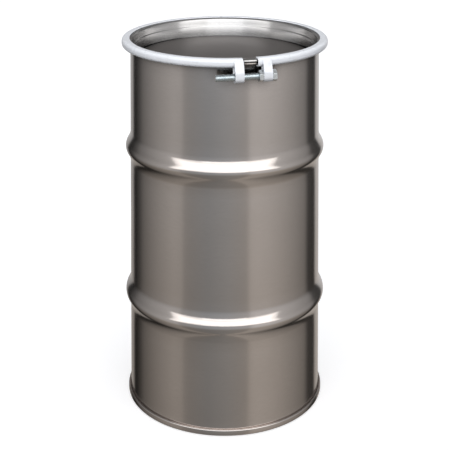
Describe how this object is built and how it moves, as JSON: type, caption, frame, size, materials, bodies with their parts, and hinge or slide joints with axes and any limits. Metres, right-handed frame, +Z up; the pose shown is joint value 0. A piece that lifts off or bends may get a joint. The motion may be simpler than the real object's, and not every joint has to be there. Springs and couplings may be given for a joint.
{
  "type": "steel drum",
  "caption": "Open-head steel drum with rolling hoops, a recessed cover and a split closure ring drawn tight by a bolt.",
  "frame": {"origin": "on the drum's axis, at the plane it stands on", "axes": "+Z up along the drum's axis; the closure bolt is on the -Y side with its head towards +X"},
  "size_m": [0.391, 0.4007, 0.674],
  "materials": {
    "stainless": "satin stainless sheet",
    "cover_stainless": "satin stainless pressing",
    "white_enamel": "semi-gloss white enamel",
    "zinc": "bright zinc plate",
    "gasket_rubber": "matt black sponge rubber",
    "compound": "cured sealing compound"
  },
  "bodies": {
    "drum": {"body_shell": "stainless", "bottom_head": "stainless", "seam_compound": "compound"},
    "cover": {"cover": "cover_stainless", "cover_gasket": "gasket_rubber"},
    "ring_left": {"ring_band_left": "white_enamel", "threaded_lug": "white_enamel", "threaded_lug_welds": "white_enamel"},
    "ring_right": {"ring_band_right": "white_enamel", "plain_lug": "white_enamel", "plain_lug_welds": "white_enamel"},
    "bolt": {"closure_bolt": "zinc"},
    "nut": {"jam_nut": "zinc"}
  },
  "joints": [
    {"name": "cover_lift", "type": "slide", "parent": "drum", "child": "cover", "axis": [0, 0, 1], "range_m": [0, 0.2]},
    {"name": "ring_lift", "type": "slide", "parent": "drum", "child": "ring_left", "axis": [0, 0, 1], "range_m": [0, 0.32]},
    {"name": "ring_spread", "type": "slide", "parent": "ring_left", "child": "ring_right", "axis": [1, 0, 0], "range_m": [0, 0.04689]},
    {"name": "bolt_turn", "type": "hinge", "parent": "ring_right", "child": "bolt", "pos_m": [0, -0.195, 0.6434], "axis": [1, 0, 0], "range_deg": [0, 8640]},
    {"name": "nut_run", "type": "slide", "parent": "bolt", "child": "nut", "axis": [-1, 0, 0], "range_m": [0, 0.027]}
  ],
  "couplings": [
    {"joint": "bolt_turn", "follows": "ring_spread", "rad_per_m": 3215.8}
  ]
}
